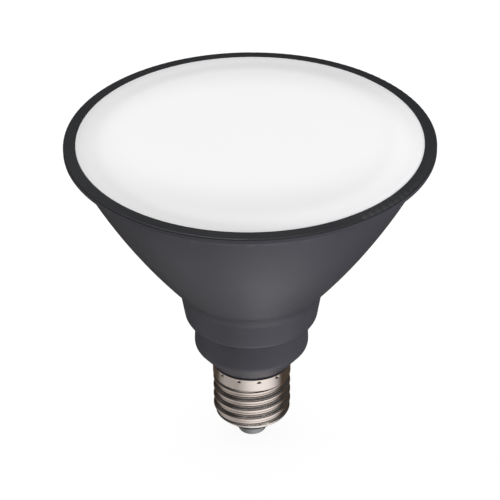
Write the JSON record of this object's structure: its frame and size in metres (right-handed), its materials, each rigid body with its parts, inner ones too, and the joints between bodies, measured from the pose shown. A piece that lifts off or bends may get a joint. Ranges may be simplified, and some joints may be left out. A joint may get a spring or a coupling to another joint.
{
  "type": "par spotlight bulb",
  "caption": "Reflector-style LED spotlight bulb: opal front lens in a dark flared housing, stepped neck, and a bright screw cap with a centre contact.",
  "frame": {"origin": "tip of the cap's centre contact, on the lamp's axis, at the bottom of the lamp as it stands with its lens upward", "axes": "+Z along the lamp's axis, from the centre contact to the lens; +Y square to the driver board, on its component side; +X across the board"},
  "size_m": [0.121, 0.121, 0.1162],
  "materials": {
    "opal_lens": "satin opal moulding",
    "housing_plastic": "fine satin texture",
    "drawn_aluminium": "drawn, bare",
    "white_board": "white solder mask on aluminium",
    "led_package": "phosphor gel",
    "zinc_screw": "zinc plated",
    "circuit_board": "green solder mask",
    "black_sleeve": "shrunk sleeve",
    "ferrite": "ground ferrite",
    "black_moulding": "moulded",
    "yellow_tape": "polyester tape",
    "yellow_box": "moulded box",
    "resistor_coat": "cement coat",
    "varistor_coat": "dipped coat",
    "brown_insulation": "wire insulation",
    "tinned_wire": "tinned copper",
    "red_insulation": "wire insulation",
    "black_insulation": "wire insulation",
    "nickel_shell": "bright nickel on thin rolled brass",
    "cap_black": "moulded insulator",
    "contact_metal": "pressed, plated"
  },
  "bodies": {
    "root": {"lens": "opal_lens", "bezel_ring": "housing_plastic", "housing": "housing_plastic", "heat_sink_cup": "drawn_aluminium", "led_board": "white_board", "leds": "led_package", "led_board_screws": "zinc_screw", "driver_board": "circuit_board", "input_capacitor": "black_sleeve", "output_capacitor": "black_sleeve", "transformer_core": "ferrite", "transformer_bobbin": "black_moulding", "transformer_winding": "yellow_tape", "emi_choke": "black_sleeve", "film_capacitor": "yellow_box", "bridge_rectifier": "black_moulding", "driver_ic": "black_moulding", "output_diode": "black_moulding", "fusible_resistor": "resistor_coat", "varistor": "varistor_coat", "live_wire": "brown_insulation", "neutral_wire": "tinned_wire", "led_wire_positive": "red_insulation", "led_wire_negative": "black_insulation", "screw_shell": "nickel_shell", "cap_insulator": "cap_black", "centre_contact": "contact_metal"}
  },
  "joints": []
}
